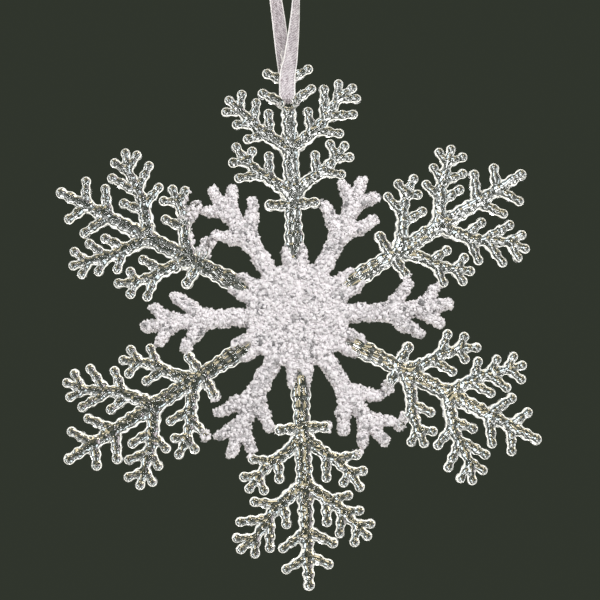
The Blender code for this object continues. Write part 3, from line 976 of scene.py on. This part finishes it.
def catmull_rom(before, start, end, after, t):
    """The point a share t of the way from start to end, on a smooth curve through all four."""
    return 0.5 * (
        2 * start
        + (end - before) * t
        + (2 * before - 5 * start + 4 * end - after) * t**2
        + (3 * start - before - 3 * end + after) * t**3
    )


def smooth_route(route, step):
    """Points about a step apart on a smooth curve through the route's own points."""
    knots = [Vector(point) for point in route]
    knots = [2 * knots[0] - knots[1], *knots, 2 * knots[-1] - knots[-2]]
    fine = []
    for before, start, end, after in zip(knots, knots[1:], knots[2:], knots[3:]):
        steps = max(1, round((end - start).to_3d().length / step))
        fine += [catmull_rom(before, start, end, after, i / steps) for i in range(steps)]
    return [*fine, knots[-2]]


def loop_width(x, y, height):
    """The ribbon's width: narrow in the hole, full above it, narrow again at the knot."""
    from_hole = math.hypot(max(height - HOLE_HEIGHT, 0), max(abs(y) - HOLE_DEPTH, 0))
    spread = min(1, from_hole / GATHER_LENGTH) ** GATHER_EASING
    near_hole = RIBBON_GATHERED + (RIBBON_WIDTH - RIBBON_GATHERED) * spread
    below_knot = min(1, max(0, LOOP_HEIGHT - height) / KNOT_GATHER_LENGTH)
    near_knot = RIBBON_AT_KNOT + (RIBBON_WIDTH - RIBBON_AT_KNOT) * below_knot
    return min(near_hole, near_knot)


def ribbon_axes(points, index):
    """The ways across the ribbon and out of its face, at one of its points."""
    before = points[max(index - 1, 0)].to_3d()
    after = points[min(index + 1, len(points) - 1)].to_3d()
    forward = (after - before).normalized()
    side = Matrix.Rotation(math.radians(points[index][3]), 3, "Z") @ Vector((1, 0, 0))
    side = (side - forward * side.dot(forward)).normalized()
    return side, forward.cross(side).normalized()


def pleats(across, width):
    """How far the cloth stands off the ribbon's middle plane. Where the ribbon is narrower
    than it was woven, its whole width is still there, in the folds."""
    spare = math.sqrt(max(RIBBON_WIDTH**2 - width**2, 0))
    fold = spare / (4 * RIBBON_PLEATS) * np.sin(math.pi * RIBBON_PLEATS * across)
    return fold + RIBBON_CUP * (1 - across**2) * (width / RIBBON_WIDTH)


def band_faces(rows, around):
    """The faces between the rows of a closed band with that many points around, and its ends."""
    i, j = np.meshgrid(np.arange(rows - 1), np.arange(around), indexing="ij")
    k = (j + 1) % around
    faces = np.stack([i * around + j, i * around + k, (i + 1) * around + k, (i + 1) * around + j], -1)
    caps = []
    for row in (0, rows - 1):
        for column in range(around // 2 - 1):
            corners = (column, around - 1 - column, around - 2 - column, column + 1)
            quad = [row * around + corner for corner in corners]
            caps.append(quad if row == 0 else quad[::-1])
    return np.concatenate([faces.reshape(-1, 4), np.array(caps)])


def ribbon_surface(points, widths):
    """A thin closed band. Gives its points, faces and their (across, along) in the cloth."""
    u = np.linspace(-1, 1, RIBBON_COLUMNS + 1)
    across = np.concatenate([u, u[::-1]])
    skin = np.repeat((1.0, -1.0), len(u)) * RIBBON_THICKNESS / 2
    rows, marks, walked = [], [], 0.0
    for index, (point, width) in enumerate(zip(points, widths)):
        side, face = ribbon_axes(points, index)
        off_middle = np.outer(across * width / 2, side) + np.outer(pleats(across, width) + skin, face)
        rows.append(np.array(point.to_3d()) + off_middle)
        if index:
            walked += (point.to_3d() - points[index - 1].to_3d()).length
        marks.append(np.stack([across * RIBBON_WIDTH / 2, np.full(len(skin), walked)], 1))
    return np.concatenate(rows), band_faces(len(rows), len(skin)), np.concatenate(marks)


def cloth_mesh(name, points, faces, marks):
    """A smooth mesh with its marks as the UV map of the weave."""
    mesh = quad_mesh(name, points, faces)
    layer = mesh.uv_layers.new(name="weave")
    corner = np.zeros(len(mesh.loops), np.int32)
    mesh.loops.foreach_get("vertex_index", corner)
    layer.data.foreach_set("uv", marks[corner].astype(np.float32).ravel())
    mesh.shade_smooth()
    return mesh


def unit_rows(vectors):
    """Each row, scaled to length 1."""
    return vectors / np.linalg.norm(vectors, axis=1, keepdims=True)


def knot_path(t, room):
    """A trefoil's path that just fills the room, in half sizes."""
    across = np.sin(t) + 2 * np.sin(2 * t)
    up = np.cos(t) - 2 * np.cos(2 * t)
    swing = np.stack([across, -np.sin(3 * t), up], 1)
    return swing / np.abs(swing).max(axis=0) * room


def knot_surface():
    """An overhand knot: one pleated strand on a trefoil's path, drawn tight."""
    low, high = (np.array(corner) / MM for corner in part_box("ribbon_knot"))
    t = np.linspace(0, math.tau, KNOT_STEPS, endpoint=False)
    phi = np.linspace(0, math.tau, KNOT_SIDES, endpoint=False)
    path = knot_path(t, (high - low) / 2 - KNOT_STRAND)
    ahead = unit_rows(np.roll(path, -1, axis=0) - np.roll(path, 1, axis=0))
    outward = unit_rows(path)
    outward = unit_rows(outward - ahead * (outward * ahead).sum(axis=1, keepdims=True))
    side = np.cross(ahead, outward)
    radius = KNOT_STRAND * (1 + KNOT_PLEAT_DEPTH * np.cos(KNOT_PLEATS * phi))
    wide = KNOT_STRAND_WIDE * (radius * np.cos(phi))[None, :, None] * side[:, None]
    thick = KNOT_STRAND_THICK * (radius * np.sin(phi))[None, :, None] * outward[:, None]
    rings = path[:, None] + wide + thick + (low + high) / 2
    i, j = np.meshgrid(np.arange(KNOT_STEPS), np.arange(KNOT_SIDES), indexing="ij")
    i2, j2 = (i + 1) % KNOT_STEPS, (j + 1) % KNOT_SIDES
    faces = np.stack([i, i, i2, i2], -1) * KNOT_SIDES + np.stack([j, j2, j2, j], -1)
    marks = np.stack([phi[j] * KNOT_WEAVE_ROUND - KNOT_WEAVE_EDGE, t[i] * KNOT_WEAVE_AHEAD], -1)
    return rings.reshape(-1, 3), faces.reshape(-1, 4), marks.reshape(-1, 2)


def tail_surface(route):
    """A tail: gathered where it leaves the knot, full width at its slanting cut end."""
    points = smooth_route(route, RIBBON_STEP)
    shares = np.linspace(0, 1, len(points))
    opened = np.minimum(1, TAIL_GATHERED + (1 - TAIL_GATHERED) * shares * TAIL_OPENING)
    surface, faces, marks = ribbon_surface(points, list(RIBBON_WIDTH * opened))
    around = len(surface) // len(points)
    last = (points[-1].to_3d() - points[-2].to_3d()).normalized()
    cut = np.clip((np.repeat(shares, around) - TAIL_SLANT_START) / (1 - TAIL_SLANT_START), 0, 1)
    return surface + np.outer(cut * marks[:, 0] * TAIL_SLANT, last), faces, marks


def make_knot(look):
    """The knot and the two tails that leave it."""
    mesh = cloth_mesh("ribbon_knot", *knot_surface())
    made = [add_piece("organza_knot", mesh, look, "knot", ["ribbon_knot"])]
    for where, route in (("left", TAIL_LEFT), ("right", TAIL_RIGHT)):
        node = f"ribbon_tail_{where}"
        mesh = cloth_mesh(node, *tail_surface(route))
        made.append(add_piece(f"organza_tail_{where}", mesh, look, "knot", [node]))
    return made


def make_ribbon():
    """The loop, which rides on no body, and the knot with its tails, which ride on the knot."""
    look = organza_look()
    drop = Vector((0, 0, -LOOP_HEIGHT, 0))
    route = smooth_route([*reversed(FRONT_STRAND), *BACK_STRAND], RIBBON_STEP)
    widths = [loop_width(*point[:3]) for point in route]
    points = [point + drop for point in route]
    mesh = cloth_mesh("ribbon_loop", *ribbon_surface(points, widths))
    loop = add_piece("organza_loop", mesh, look, None, ["ribbon_loop"])
    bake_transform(loop)
    on_it = make_knot(look)
    path = [tuple(point.to_3d() * MM) for point in points[::CORD_PATH_STRIDE]]
    length = sum((b.to_3d() - a.to_3d()).length for a, b in zip(points, points[1:])) * MM
    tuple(path[0])


make_camera()
make_lights()
make_world()
make_floor()
clear_arm = make_long_arms()
make_frosting(clear_arm)
make_ribbon()
bpy.context.scene.view_settings.view_transform = "Standard"
